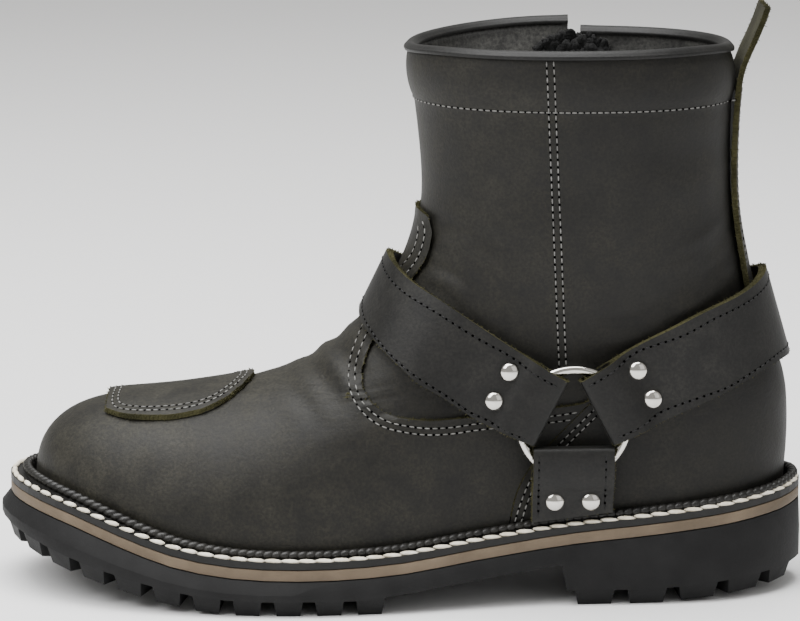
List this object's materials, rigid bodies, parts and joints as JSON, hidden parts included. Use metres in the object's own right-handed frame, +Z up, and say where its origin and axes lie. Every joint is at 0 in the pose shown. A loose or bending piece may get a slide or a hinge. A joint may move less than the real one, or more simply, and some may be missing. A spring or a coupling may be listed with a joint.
{
  "type": "motorcycle boot",
  "caption": "Left harness boot: lasted leather upper and shaft, strap and ring harness, toe shift pad, side zip, stitched welt and lugged sole.",
  "frame": {"origin": "on the floor, under the middle of the sole's length and width", "axes": "+Z up from the floor, -X towards the toe, -Y towards the outer side of the left foot"},
  "size_m": [0.31, 0.1122, 0.2239],
  "materials": {
    "leather": "oiled nubuck, dark olive grey",
    "binding_leather": "smooth dark grey leather",
    "harness_leather": "oiled strap leather, cool dark grey, olive raw edges",
    "insole_board": "black lined foot bed",
    "welt_leather": "black ribbed welt with cream lockstitch",
    "midsole_rubber": "taupe pressed midsole",
    "outsole_rubber": "matt black lugged rubber",
    "nickel": "polished nickel",
    "zip_metal": "dark gunmetal zip"
  },
  "bodies": {
    "boot": {"upper": "leather", "vamp": "leather", "counter": "leather", "shift_pad": "leather", "collar_binding": "binding_leather", "backstay": "leather", "insole": "insole_board", "welt": "welt_leather", "midsole": "midsole_rubber", "outsole": "outsole_rubber", "instep_strap": "harness_leather", "heel_strap": "harness_leather", "side_strap_outer": "harness_leather", "side_strap_inner": "harness_leather", "ring_outer": "nickel", "ring_inner": "nickel", "rivet_outer_1": "nickel", "rivet_outer_2": "nickel", "rivet_outer_3": "nickel", "rivet_outer_4": "nickel", "rivet_outer_5": "nickel", "rivet_outer_6": "nickel", "rivet_inner_1": "nickel", "rivet_inner_2": "nickel", "rivet_inner_3": "nickel", "rivet_inner_4": "nickel", "rivet_inner_5": "nickel", "rivet_inner_6": "nickel", "zip_chain": "zip_metal", "zip_slider": "zip_metal"},
    "pull": {"zip_pull": "zip_metal"}
  },
  "joints": [
    {"name": "zip_pull_hinge", "type": "hinge", "parent": "boot", "child": "pull", "pos_m": [0.06802, 0.05405, 0.1901], "axis": [1, 0, 0], "range_deg": [0, 150]}
  ]
}
